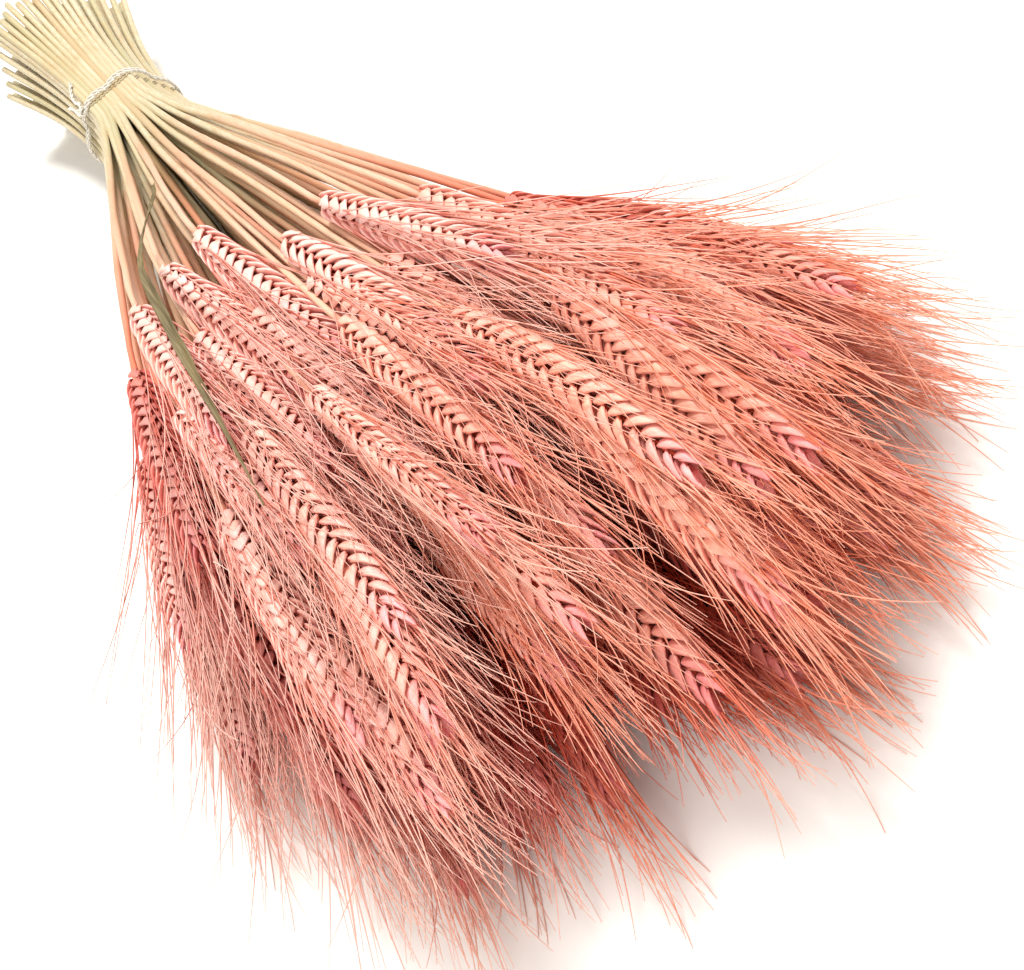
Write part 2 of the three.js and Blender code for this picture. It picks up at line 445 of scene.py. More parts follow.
awnLook = {
    "root": (0.86, 0.17, 0.10), "middle": (0.94, 0.44, 0.34), "tip": (0.96, 0.66, 0.55),
    "pink": (0.96, 0.62, 0.57), "deepRedAndShade": (0.52, 0.03, 0.008), "salmon": (0.92, 0.25, 0.105),
    "middleAt": 0.3, "toneShare": 0.38, "warmShare": 0.68, "insideShadeShare": 0.9,
    "paleMask": (0.35, 0.7, 0.35), "paleNoise": (120, 2.0), "roughness": 0.4,
}


def makeAwn():
    # the awns: red at the foot, paler and pinker towards the point
    look = awnLook
    f = Finish("dyedAwn")
    along = f.ramp(f.attribute("along"), [
        (0.0, look["root"]), (look["middleAt"], look["middle"]), (1.0, look["tip"])])
    tone = f.mixed(f.attribute("tone"), look["pink"], look["deepRedAndShade"])
    colour = f.mixed(look["toneShare"], along, tone)
    warmth = f.times(f.attribute("warmth"), look["warmShare"])
    colour = f.mixed(warmth, colour, look["salmon"])
    pale = f.mask(f.noise(*look["paleNoise"]), *look["paleMask"])
    colour = f.mixed(pale, colour, look["tip"])
    # painted shade: darker red inside the bundle
    depth = f.times(f.attribute("depth"), look["insideShadeShare"])
    return f.done(f.mixed(depth, colour, look["deepRedAndShade"]), Roughness=look["roughness"])


strawLook = {
    "green": (0.47, 0.45, 0.26), "pale": (0.60, 0.53, 0.35), "cream": (0.66, 0.60, 0.44),
    "gold": (0.50, 0.33, 0.15), "pink": (0.84, 0.48, 0.35), "rachis": (0.74, 0.12, 0.05),
    "streak": (0.58, 0.42, 0.22), "joint": (0.50, 0.28, 0.16),
    "paleAt": 0.3, "creamAt": 0.75, "jointShare": 0.7,
    "streakNoise": (1500, 3.0, (0.02, 1, 1)), "streakMask": (0.42, 0.66, 0.7),
    "stainNoise": (45, 2.0), "stainMask": (0.5, 0.8, 0.4),
    "dyeMask": (0.50, 1.0, 0.8), "earMask": (0.49, 0.52), "roughness": 0.4, "bump": 0.25 * mm,
}


def makeStraw():
    # pale straw with green and golden stalks among it, tinted pink towards the ear
    look = strawLook
    f = Finish("driedStraw")
    colour = f.ramp(f.attribute("tone"), [
        (0.0, look["green"]), (look["paleAt"], look["pale"]), (look["creamAt"], look["cream"]),
        (1.0, look["gold"])])
    streaks = f.noise(*look["streakNoise"])
    colour = f.mixed(f.mask(streaks, *look["streakMask"]), colour, look["streak"])
    stained = f.mask(f.noise(*look["stainNoise"]), *look["stainMask"])
    colour = f.mixed(stained, colour, look["gold"])
    along = f.attribute("along")  # 1 where the ear starts
    dye = f.mask(along, *look["dyeMask"])
    colour = f.mixed(dye, colour, look["pink"])
    inEar = f.mask(f.times(along, 0.5), *look["earMask"])
    colour = f.mixed(inEar, colour, look["rachis"])
    paintedShadeOnDye = f.times(dye, f.attribute("depth"))  # painted shade: darker red inside the bundle, on the dyed part
    colour = f.mixed(paintedShadeOnDye, colour, look["rachis"])
    joint = f.times(f.attribute("joint"), look["jointShare"])
    f.bumped(streaks, look["bump"])
    return f.done(f.mixed(joint, colour, look["joint"]), Roughness=look["roughness"])


twineLook = {
    "shade": (0.50, 0.45, 0.37), "light": (0.86, 0.83, 0.76), "shadeAt": 0.3, "lightAt": 0.65,
    "fibreNoise": (1700, 4.0), "roughness": 0.85, "sheen": 0.4, "bump": 0.3 * mm,
}


def makeTwine():
    look = twineLook
    f = Finish("tieTwine")
    fibres = f.noise(*look["fibreNoise"])
    colour = f.ramp(fibres, [(look["shadeAt"], look["shade"]), (look["lightAt"], look["light"])])
    f.bumped(fibres, look["bump"])
    return f.done(colour, Roughness=look["roughness"], Sheen_Weight=look["sheen"])


leafLook = {
    "dark": (0.10, 0.07, 0.03), "olive": (0.18, 0.135, 0.05), "vein": (0.30, 0.24, 0.12),
    "darkAt": 0.35, "oliveAt": 0.65, "blotchNoise": (110, 3.0, (0.4, 1, 1)),
    "veinNoise": (1500, 3.0, (0.02, 1, 1)), "veinMask": (0.42, 0.70, 0.7),
    "roughness": 0.7, "bump": 0.3 * mm,
}


def makeLeaf():
    look = leafLook
    f = Finish("driedLeaf")
    blotches = f.noise(*look["blotchNoise"])
    colour = f.ramp(blotches, [(look["darkAt"], look["dark"]), (look["oliveAt"], look["olive"])])
    veins = f.noise(*look["veinNoise"])
    veined = f.mask(veins, *look["veinMask"])
    f.bumped(veins, look["bump"])
    return f.done(f.mixed(veined, colour, look["vein"]), Roughness=look["roughness"])


chaff, awnFinish, strawFinish = makeChaff(), makeAwn(), makeStraw()
twineFinish, leafFinish = makeTwine(), makeLeaf()
print("finishes made")


huskShape = {
    "width": 0.64, "depth": 0.115, "belly": 0.05, "arch": 0.10, "rows": 7, "sides": 6,
    "rootPower": 0.58, "fullPower": 0.85,  # fullest near the root, drawn out to the point
    "rim": 0.6, "tipRimShade": 0.3,  # how much painted crevice shade falls on the sides and at the point
}


def makeHusk():
    # a boat-shaped husk of unit length along X, its keeled back to +Z
    shape = huskShape
    rows, sides = shape["rows"], shape["sides"]
    points, along, rim = [(0, 0, 0)], [0.0], [1.0]
    for row in range(1, rows):
        x = row / rows
        full = math.sin(math.pi * x ** shape["rootPower"]) ** shape["fullPower"]
        for side in range(sides):
            turn = 2 * math.pi * side / sides + math.pi / 2
            rise = math.sin(turn)
            tall = shape["depth"] if rise > 0 else shape["belly"]
            points.append((
                x, shape["width"] / 2 * full * math.cos(turn),
                tall * full * rise + shape["arch"] * math.sin(math.pi * x)))
            along.append(x)
            # rim marks the underside and the sides, where painted crevice shade goes
            rim.append(min(1.0, shape["rim"] - shape["rim"] * rise))
    points.append((1, 0, 0))
    along.append(1.0)
    rim.append(shape["tipRimShade"])
    faces = []
    for side in range(sides):
        after = (side + 1) % sides
        faces.append((0, 1 + after, 1 + side))
        for row in range(rows - 2):
            a, b = 1 + row * sides, 1 + (row + 1) * sides
            faces.append((a + side, a + after, b + after, b + side))
        end = 1 + (rows - 2) * sides
        faces.append((end + side, end + after, len(points) - 1))
    made = plainMesh("husk", points, faces)
    made.polygons.foreach_set("use_smooth", [True] * len(made.polygons))
    for label, values in (("along", along), ("rim", rim)):
        made.attributes.new(label, "FLOAT", "POINT").data.foreach_set("value", values)
    return newObject("husk", made)


husk = makeHusk()


earShape = {
    "spikelets": 34, "huskLength": 11.0 * mm,
    "outward": math.radians(25),  # a husk's angle from the ear's axis, away from the other column
    "outwardStep": math.radians(2.5),  # more for each husk further in
    "spread": math.radians(12),  # the same, towards the flat sides
    "jitter": math.radians(3),
    "facing": math.radians(56), "facingStep": math.radians(-16),  # which way a husk's back looks
    "columnApart": 0.45 * mm, "flankApart": 1.7 * mm, "flankStep": -0.4 * mm, "tierStep": 1.3 * mm,
    "swell": (2.15, 0.62, 0.55),  # the ear's fullness is a sine: how far, from where, and its power
    "outerTrim": -0.14, "slimmest": 0.9, "widest": 1.12,
    "crownFrom": 0.72, "crownTo": 0.98,  # the top of the ear closes and its husks grow longer
    "crownCloses": -0.45, "crownSlims": -0.25, "crownGrows": 0.2,
}

awnShape = {
    "length": 80 * mm, "shortest": 0.68, "longest": 1.06, "lessAtTop": -0.2,
    "spread": math.radians(6.5), "open": 0.8, "foot": 0.9,  # the foot is a share of the husk's length
    "bow": 0.13, "bowPower": 1.8, "bowOut": -0.35, "unruly": 2.0, "unrulyPower": 6.0,
    "radius": 0.33 * mm, "thinner": -0.72, "points": 9, "sides": 3,
}

strawShape = {
    "radius": 1.6 * mm, "neck": 1.05 * mm, "slimsFrom": 0.10, "joint": 0.35 * mm, "jointReach": 2.4 * mm,
    "sheath": 0.2 * mm, "hollow": 0.62, "bore": 0.03, "sides": 8, "segments": 52,
    "intoEar": 0.86, "earThin": 0.5, "thinReach": 6 * mm,
}

heapShape = {  # the painted shade is darkest inside the bundle, past its skin; lengths along X are from the tie
    "crest": 76 * mm, "tips": 36 * mm, "sinksFrom": 0.24, "sinksTo": 0.46, "side": 100 * mm,
    "end": 442 * mm, "endCurve": -8.0, "endSlope": 0.4, "skin": 6 * mm, "fade": 18 * mm,
}

bundleShape = {
    "seed": 11,
    "innerRows": (  # between these two stalks: how many, and where their ears start, in mm from the tie
        (15, 16, 4, 290, 325), (19, 20, 5, 280, 320), (23, 24, 6, 270, 310), (27, 28, 7, 285, 325),
        (31, 32, 6, 245, 295), (35, 36, 5, 280, 325), (39, 40, 4, 225, 265),
        (42, 49, 1, 225, 245), (43, 50, 1, 215, 235), (44, 51, 1, 222, 242), (45, 52, 1, 230, 250),
        (46, 53, 1, 245, 265), (47, 54, 1, 262, 285), (49, 50, 1, 262, 272), (50, 51, 1, 268, 278),
        (51, 52, 1, 262, 275), (52, 53, 1, 288, 300), (53, 54, 1, 300, 312)),
    "earLength": 92 * mm, "roll": 65, "innerRoll": 90, "step": 7 * mm, "ringStep": 6 * mm, "pathPoints": 160,
    "awnReach": (1.2, 0.5),  # share of the awns' length on the first ears and on the last
    "firstEar": 180 * mm, "earRange": 115 * mm, "sooner": 70,  # the last is in mm, for the left of a row
    "tremble": 0.6 * mm, "waves": (1.0, 0.6), "trembleFrom": 20 * mm, "trembleEase": 40 * mm,
    "straighter": 0.6, "straightFrom": 12 * mm, "straightEase": 25 * mm,
    "nod": math.radians(8),  # how far an ear leans off its straw's line
    "ceiling": 80 * mm, "ceilingGive": 11 * mm, "halfWidth": 118 * mm, "sideGive": 14 * mm,
    "lift": 0.3 * mm,
    "warmth": 0.42, "warmFrom": 0.25, "warmAlong": 1.3, "warmReach": 0.12,  # warmer to the right and far end
}


def huskPlaces(t, index):
    # five husks to a spikelet: two glumes, two outer husks and the middle one, on alternate sides
    ear = earShape
    spikelet = t.math("FLOOR", t.math("DIVIDE", t.math("ADD", index, 0.5), 5.0))
    member = t.minus(index, t.times(spikelet, 5.0))
    side = t.timesPlus(t.math("MODULO", spikelet, 2.0), 2.0, -1.0)
    flank = t.timesPlus(t.math("MODULO", member, 2.0), 2.0, -1.0)
    flank = t.times(flank, t.math("LESS_THAN", member, 3.5))  # 0 for the middle husk
    tier = t.math("FLOOR", t.math("DIVIDE", t.math("ADD", member, 0.5), 2.0))
    share = t.math("DIVIDE", spikelet, t.given("Spikelets"))
    crown = t.mapped(share, ear["crownFrom"], ear["crownTo"], kind="SMOOTHSTEP")
    far, start, power = ear["swell"]
    fullness = t.math("POWER", t.math("SINE", t.timesPlus(share, far, start)), power)

    room = t.minus(t.given("Ear Length"), t.times(t.given("Husk Length"), 0.8))
    x = t.timesPlus(share, room, t.times(tier, ear["tierStep"]))
    y = t.times(side, t.times(fullness, ear["columnApart"]))
    apart = t.timesPlus(tier, ear["flankStep"], ear["flankApart"])
    z = t.times(flank, t.times(fullness, apart))

    jitterOut, jitterAside = (t.scatter(-1.0, 1.0, t.seed(k), index) for k in (1, 2))
    opening = t.timesPlus(tier, ear["outwardStep"], ear["outward"])
    opening = t.timesPlus(jitterOut, ear["jitter"], opening)
    opening = t.times(opening, t.timesPlus(crown, ear["crownCloses"], 1.0))
    aside = t.times(flank, t.timesPlus(jitterAside, ear["jitter"], ear["spread"]))
    # a husk turns its back outwards: the glumes to the flat sides, the middle husk straight out
    facing = t.times(flank, t.timesPlus(tier, ear["facingStep"], ear["facing"]))
    bank = t.turned(x=t.times(side, t.minus(facing, math.pi / 2)))
    swing = t.turned(y=t.times(aside, -1.0), z=t.times(side, opening))
    turn = t.node("FunctionNodeRotateRotation", {"rotation_space": "LOCAL"}, Rotation=swing, Rotate_By=bank)

    outer = t.math("ABSOLUTE", t.minus(tier, 1.0))
    trim = t.timesPlus(outer, ear["outerTrim"], 1.0)
    size = t.times(t.times(fullness, trim), t.given("Husk Length"))
    return {
        "spots": t.made("GeometryNodeMeshLine", {"mode": "OFFSET"}, Offset=(0, 0, 0),
                        Count=t.times(t.given("Spikelets"), 5.0)),
        "root": t.vector(x, y, z), "turn": turn.outputs[0], "size": size, "index": index,
        "member": member, "side": side, "flank": flank, "share": share, "crown": crown}


def growHusks(t, at):
    ear = earShape
    slim = t.timesPlus(at["crown"], ear["crownSlims"], 1.0)
    slim = t.times(t.scatter(ear["slimmest"], ear["widest"], t.seed(3), at["index"]), slim)
    long = t.times(at["size"], t.timesPlus(at["crown"], ear["crownGrows"], 1.0))
    shape = t.node("GeometryNodeObjectInfo", Object=t.given("Husk")).outputs["Geometry"]
    husks = t.made("GeometryNodeInstanceOnPoints", Points=t.moved(at["spots"], at["root"]),
                   Instance=shape, Rotation=at["turn"],
                   Scale=t.vector(long, t.times(at["size"], slim), at["size"]))
    husks = t.store(husks, "tone", t.scatter(0.0, 1.0, t.seed(4), at["index"]), "INSTANCE")
    husks = t.store(husks, "crown", at["crown"], "INSTANCE")
    return t.finished(t.realized(husks), "Chaff")


def growAwns(t, at):
    # an awn grows from the tip of each husk, not from the glumes
    awn, index = awnShape, at["index"]
    foot = t.vector(t.times(at["size"], awn["foot"]), 0.0, 0.0)
    tip = t.made("FunctionNodeRotateVector", Vector=foot, Rotation=at["turn"])
    feet = t.moved(at["spots"], t.plus(at["root"], tip))
    spread = t.given("Awn Spread")
    wander = [t.times(t.scatter(-1.0, 1.0, t.seed(k), index), spread) for k in (5, 6)]
    yawed = t.timesPlus(t.times(at["side"], spread), awn["open"], wander[0])
    pitched = t.timesPlus(t.times(at["flank"], spread), -awn["open"], wander[1])
    reach = t.times(t.scatter(awn["shortest"], awn["longest"], t.seed(8), index),
                    t.timesPlus(at["share"], awn["lessAtTop"], 1.0))
    reach = t.times(t.given("Awn Length"), reach)
    strand = t.made("GeometryNodeCurvePrimitiveLine", Start=(0, 0, 0), End=(1, 0, 0))
    strand = t.node("GeometryNodeResampleCurve", {"mode": "COUNT"}, Curve=strand, Count=awn["points"])
    strand = t.store(strand.outputs[0], "along", t.node("GeometryNodeSplineParameter").outputs["Factor"])
    awns = t.made("GeometryNodeInstanceOnPoints", Points=feet, Instance=strand,
                  Selection=t.math("GREATER_THAN", at["member"], 1.5),
                  Rotation=t.turned(y=pitched, z=yawed), Scale=t.vector(reach, 1.0, 1.0))
    # a few bow far more than the others
    unruly = t.math("POWER", t.scatter(0.0, 1.0, t.seed(12), index), awn["unrulyPower"])
    bow = t.times(t.timesPlus(unruly, awn["unruly"], 1.0), t.times(reach, t.given("Awn Bow")))
    bowY = t.timesPlus(at["side"], awn["bowOut"], t.scatter(-1.0, 1.0, t.seed(10), index))
    bowZ = t.timesPlus(at["flank"], awn["bowOut"], t.scatter(-1.0, 0.7, t.seed(11), index))
    awns = t.store(awns, "tone", t.scatter(0.0, 1.0, t.seed(9), index), "INSTANCE")
    awns = t.store(awns, "bowY", t.times(bow, bowY), "INSTANCE")
    awns = t.store(awns, "bowZ", t.times(bow, bowZ), "INSTANCE")
    bend = t.math("POWER", t.named("along"), awn["bowPower"])
    shift = t.vector(0.0, t.times(bend, t.named("bowY")), t.times(bend, t.named("bowZ")))
    return t.shifted(t.realized(awns), shift)


def growStraw(t, position):
    # a cylinder along X with a hollow cut end, a swollen joint and a sheath after it
    shape = strawShape
    tube = t.node("GeometryNodeMeshCylinder", {"fill_type": "NGON"}, Vertices=shape["sides"],
                  Side_Segments=shape["segments"], Radius=1.0, Depth=1.0).outputs["Mesh"]
    straw = t.made("GeometryNodeTransform", Geometry=tube, Translation=(0.5, 0, 0),
                   Rotation=(0, math.radians(90), 0))
    cut = t.math("LESS_THAN", t.split(t.made("GeometryNodeInputNormal"))[0], -0.9)
    lip = t.node("GeometryNodeExtrudeMesh", {"mode": "FACES"}, Mesh=straw, Selection=cut, Offset_Scale=0.0)
    rim = t.made("GeometryNodeScaleElements", {"domain": "FACE"}, Geometry=lip.outputs["Mesh"],
                 Selection=lip.outputs["Top"], Scale=shape["hollow"])
    bore = t.node("GeometryNodeExtrudeMesh", {"mode": "FACES"}, Mesh=rim, Selection=lip.outputs["Top"],
                  Offset=(1, 0, 0), Offset_Scale=shape["bore"])
    place = t.split(position)
    start, joint = t.given("Ear Start"), t.given("Joint")
    total = t.timesPlus(t.given("Ear Length"), shape["intoEar"], start)
    reached = t.times(place[0], total)
    bulge = t.math("DIVIDE", t.minus(reached, joint), shape["jointReach"])
    bulge = t.math("EXPONENT", t.times(t.math("POWER", bulge, 2.0), -1.0))
    sheath = t.times(t.math("GREATER_THAN", reached, joint),
                     t.math("LESS_THAN", reached, t.given("Sheath End")))
    radius = t.mapped(reached, shape["slimsFrom"], start, t.given("Straw Radius"), shape["neck"], "SMOOTHSTEP")
    radius = t.timesPlus(sheath, shape["sheath"], radius)
    radius = t.timesPlus(bulge, shape["joint"], radius)
    thinned = t.mapped(t.minus(reached, start), 0.0, shape["thinReach"], 1.0, shape["earThin"])
    radius = t.times(radius, thinned)
    straw = t.store(bore.outputs["Mesh"], "joint", bulge)
    straw = t.store(straw, "along", t.math("DIVIDE", reached, start))
    straw = t.moved(straw, t.vector(reached, t.times(place[1], radius), t.times(place[2], radius)))
    straw = t.store(straw, "tone", t.given("Tone"))
    return t.finished(t.smooth(straw), "Straw Finish")


def carriedAlong(t, position, whole):
    # what stands along X is carried along the line, and straight on past its end
    path = t.made("GeometryNodeMeshToCurve", Mesh=t.given("Geometry"))
    path = t.made("GeometryNodeCurveSplineType", {"spline_type": "CATMULL_ROM"}, Curve=path)
    path = t.made("GeometryNodeResampleCurve", {"mode": "COUNT"}, Curve=path,
                  Count=bundleShape["pathPoints"])
    path = t.made("GeometryNodeSetCurveNormal", {"mode": "Z_UP"}, Curve=path)
    here = t.split(position)
    onPath = t.node("GeometryNodeSampleCurve", {"mode": "LENGTH", "data_type": "FLOAT"},
                    Curves=path, Length=here[0])
    across = onPath.outputs["Normal"]
    tangent = onPath.outputs["Tangent"]
    upward = t.vectorMath("CROSS_PRODUCT", tangent, across)
    length = t.made("GeometryNodeCurveLength", Curve=path)
    past = t.math("MAXIMUM", t.minus(here[0], length), 0.0)
    spot = t.plus(onPath.outputs["Position"], t.scaled(tangent, past))
    beside = t.plus(t.scaled(across, here[1]), t.scaled(upward, here[2]))
    return t.moved(whole, t.plus(spot, beside))


def keptInRoom(t, place, whole):
    # nothing goes below the surface that the bundle lies on, and what strays too far is pressed back
    room = bundleShape
    over = t.math("MAXIMUM", t.minus(place[2], t.given("Ceiling")), 0.0)
    lowered = t.math("TANH", t.math("DIVIDE", over, room["ceilingGive"]))
    lowered = t.times(lowered, room["ceilingGive"])
    height = t.math("ADD", t.minus(place[2], over), lowered)
    height = t.math("MAXIMUM", height, room["lift"])
    wide = t.math("MAXIMUM", t.minus(t.math("ABSOLUTE", place[1]), t.given("Half Width")), 0.0)
    drawn = t.times(t.math("TANH", t.math("DIVIDE", wide, room["sideGive"])), room["sideGive"])
    inward = t.times(t.math("SIGN", place[1]), t.minus(drawn, wide))
    return t.moved(whole, t.vector(place[0], t.math("ADD", place[1], inward), height))


def depthInside(t, place):
    # how far inside the bundle a point lies, 0 to 1, where the finishes paint shade: the crest sinks towards the
    # tips
    heap = heapShape
    fromTie = t.minus(place[0], t.given("Tie"))
    crest = t.mapped(fromTie, heap["sinksFrom"], heap["sinksTo"], heap["crest"], heap["tips"])
    aside = t.minus(heap["side"], t.math("ABSOLUTE", place[1]))
    end = t.timesPlus(t.times(place[1], place[1]), heap["endCurve"], heap["end"])
    ahead = t.times(t.minus(end, fromTie), heap["endSlope"])
    room = t.math("MINIMUM", aside, ahead)
    inside = t.math("MINIMUM", t.minus(crest, place[2]), room)
    inside = t.math("DIVIDE", t.minus(inside, heap["skin"]), heap["fade"])
    return t.math("MINIMUM", t.math("MAXIMUM", inside, 0.0), 1.0)


def stalkTree():
    # grows one stalk along the line that comes in: a hollow straw with a joint, and a bearded ear
    t = Tree("growStalk", [
        ("Husk", "Object", None), ("Ear Start", "Float", 0.3), ("Ear Length", "Float", 0.09),
        ("Spikelets", "Int", earShape["spikelets"]), ("Husk Length", "Float", earShape["huskLength"]),
        ("Awn Length", "Float", awnShape["length"]), ("Awn Spread", "Float", awnShape["spread"]),
        ("Awn Radius", "Float", awnShape["radius"]), ("Awn Bow", "Float", awnShape["bow"]),
        ("Roll", "Float", 0.0), ("Straw Radius", "Float", strawShape["radius"]), ("Joint", "Float", 0.2),
        ("Sheath End", "Float", 0.3), ("Tone", "Float", 0.5), ("Warmth", "Float", 0.5), ("Tie", "Float", 0.0),
        ("Ceiling", "Float", 0.08), ("Half Width", "Float", 0.12), ("Seed", "Int", 0),
        ("Chaff", "Material", None), ("Awn Finish", "Material", None), ("Straw Finish", "Material", None),
    ])
    position = t.made("GeometryNodeInputPosition")
    at = huskPlaces(t, t.made("GeometryNodeInputIndex"))
    ear = t.join(growHusks(t, at), growAwns(t, at))
    # the whole ear is rolled about its axis and set on the straw
    rolled = t.node("FunctionNodeRotateVector", Vector=position, Rotation=t.turned(x=t.given("Roll")))
    ear = t.moved(ear, t.plus(rolled.outputs[0], t.vector(t.given("Ear Start"), 0.0, 0.0)))
    whole = carriedAlong(t, position, t.join(growStraw(t, position), ear))
    place = t.split(position)
    parts = t.node("GeometryNodeSeparateComponents", Geometry=keptInRoom(t, place, whole)).outputs
    thin = t.timesPlus(t.named("along"), awnShape["thinner"], 1.0)
    thin = t.times(t.given("Awn Radius"), thin)
    needles = t.finished(t.smooth(t.tube(parts["Curve"], awnShape["sides"], thin)), "Awn Finish")
    whole = t.store(t.join(parts["Mesh"], needles), "warmth", t.given("Warmth"))
    # how far inside the bundle, which the finishes darken as painted shade
    whole = t.store(whole, "depth", depthInside(t, place))
    whole = t.node("GeometryNodeRemoveAttribute", {"pattern_mode": "WILDCARD"}, Geometry=whole, Name="bow*")
    return t.finish(t.realized(whole.outputs[0]))


growStalk = stalkTree()
pick = random.Random(bundleShape["seed"])


def spaced(rings):
    # leaves out the rings that crowd round a joint
    kept = [rings[0]]
    for ring in rings[1:]:
        if ring[0] - kept[-1][0] > bundleShape["ringStep"]:
            kept.append(ring)
    return np.array(kept)


def smoothAt(stations, xs):
    # a smooth line through the stations, read at xs
    x = stations[:, 0]
    i = np.clip(np.searchsorted(x, xs) - 1, 0, len(x) - 2)
    h = x[i + 1] - x[i]
    u = (xs - x[i]) / h
    columns = [xs]
    for k in (1, 2):
        y = stations[:, k]
        slope = np.gradient(y, x)
        columns.append((2 * u**3 - 3 * u**2 + 1) * y[i] + (u**3 - 2 * u**2 + u) * h * slope[i]
                       + (3 * u**2 - 2 * u**3) * y[i + 1] + (u**3 - u**2) * h * slope[i + 1])
    return np.stack(columns, 1)


def evenSteps(low, high):
    return np.linspace(low, high, int((high - low) / bundleShape["step"]) + 2)


def lengthTo(points, x):
    # the line's length from its start to the place where it crosses x
    lengths = np.concatenate(([0], np.cumsum(np.linalg.norm(np.diff(points, axis=0), axis=1))))
    return float(np.interp(x, points[:, 0], lengths))


def freeBetween(xs, start, earStart, ease):
    # 0 up to the start past the tie and from the ear on, 1 between them
    return np.clip((xs - tie.x - start) / ease, 0, 1) * np.clip((earStart - xs) / ease, 0, 1)


def shapeLine(points, earStart):
    # a slight tremble between the tie and the ear, then drawn straighter, as dried straw is
    bundle = bundleShape
    xs = points[:, 0]
    free = freeBetween(xs, bundle["trembleFrom"], earStart, bundle["trembleEase"])
    for k, tall in zip((1, 2), bundle["waves"]):
        wave = np.sin(xs / (pick.uniform(16, 26) * mm) + pick.uniform(0, 6.28))
        points[:, k] += bundle["tremble"] * tall * free * wave
    held = bundle["straightFrom"]
    free = freeBetween(xs, held, earStart, bundle["straightEase"])
    ends = [[np.interp(x, xs, points[:, k]) for k in (1, 2)] for x in (tie.x + held, earStart)]
    share = np.clip((xs - tie.x - held) / (earStart - tie.x - held), 0, 1)
    for k in (1, 2):
        straight = ends[0][k - 1] + (ends[1][k - 1] - ends[0][k - 1]) * share
        points[:, k] += (straight - points[:, k]) * free * bundle["straighter"]
    beyond = np.maximum(xs - earStart, 0)
    points[:, 1] += beyond * math.tan(bundle["nod"] * pick.uniform(-1, 1))
    points[:, 2] += beyond * math.tan(bundle["nod"] * pick.uniform(-0.8, 0.3))


def growAlong(name, points, earStart, jointAt, roll, index):
    bundle = bundleShape
    shapeLine(points, earStart)
    far = min(1.0, max(0.0, (earStart - tie.x - bundle["firstEar"]) / bundle["earRange"]))
    near, last = bundle["awnReach"]
    joint = lengthTo(points, jointAt)
    lateral = float(np.interp(earStart, points[:, 0], points[:, 1]))
    warm = (lateral + (earStart - tie.x - bundle["warmFrom"]) * bundle["warmAlong"]) / bundle["warmReach"]
    line = plainMesh(name + "Line", points, [], [(i, i + 1) for i in range(len(points) - 1)])
    piece = grown(name, line, growStalk, {  # the draws are made in this order
        "Husk": husk, "Ear Start": lengthTo(points, earStart),
        "Ear Length": bundle["earLength"] * pick.uniform(0.92, 1.08),
        "Awn Length": awnShape["length"] * (near + (last - near) * far) * pick.uniform(0.88, 1.1),
        "Roll": math.radians(roll * pick.uniform(-1, 1)),
        "Straw Radius": strawShape["radius"] * pick.uniform(0.86, 1.0), "Joint": joint,
        "Sheath End": joint + pick.uniform(0.02, 0.07), "Tone": pick.random(),
        "Warmth": min(1.0, max(0.0, bundle["warmth"] + warm + pick.uniform(-0.3, 0.3))),
        "Tie": tie.x, "Ceiling": bundle["ceiling"], "Half Width": bundle["halfWidth"],
        "Seed": index * 37 + 5, "Chaff": chaff, "Awn Finish": awnFinish, "Straw Finish": strawFinish,
    })
    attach(piece, "root")
    return piece


stalkNames = sorted(n for n in frame["nodes"] if n.startswith("stalk_"))
stations = {}
for index, name in enumerate(stalkNames):
    rings = ringsAlong(name)
    widest = int(np.argmax(rings[:, 3]))
    neck = int(np.argmin(rings[3:widest, 3])) + 3
    swollen = max(range(4, neck), key=lambda k: rings[k, 3] - (rings[k - 1, 3] + rings[k + 1, 3]) / 2)
    stations[name] = spaced(rings)
    points = smoothAt(stations[name], evenSteps(rings[0, 0], rings[-1, 0]))
    piece = growAlong("dried_" + name, points, rings[neck, 0], rings[swollen, 0], bundleShape["roll"], index)
    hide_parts(name)
print("outer stalks grown:", len(stalkNames))

innerCount = 0
for left, right, count, soonest, latest in bundleShape["innerRows"]:
    a, b = (stations["stalk_%02d" % k] for k in (left, right))
    xs = evenSteps(max(a[0, 0], b[0, 0]) - pick.uniform(0, 5) * mm, min(a[-1, 0], b[-1, 0]))
    for k in range(count):
        between = (k + 1) / (count + 1)
        points = (1 - between) * smoothAt(a, xs) + between * smoothAt(b, xs)
        sooner = bundleShape["sooner"] * max(0, 0.5 - between)
        earStart = tie.x + (pick.uniform(soonest, latest) - sooner) * mm
        jointAt = tie.x + pick.uniform(60, 150) * mm
        innerCount += 1
        growAlong("innerStalk_%02d" % innerCount, points, earStart, jointAt, bundleShape["innerRoll"],
                  100 + innerCount)
print("inner stalks grown:", innerCount)


twineShape = {
    "radius": 0.75 * mm, "lay": 5.5 * mm, "plyOut": 0.46, "plyRadius": 0.56, "step": 0.45 * mm, "sides": 7,
    "turns": 2, "pitch": 2.2 * mm, "hug": (0.95, 0.05), "turnSteps": 60,
    "knotAngle": 128, "knotSize": (2.3 * mm, 1.9 * mm, 1.5 * mm), "knotLift": 0.9 * mm, "knotSteps": 48,
    "tail": 22 * mm, "tailBack": 3 * mm, "tailShare": 0.85, "tailLift": 0.5 * mm, "tailSteps": 8,
    "tails": ((-7, 9), (8, -4)),  # each tail's lean and bend, in degrees
}


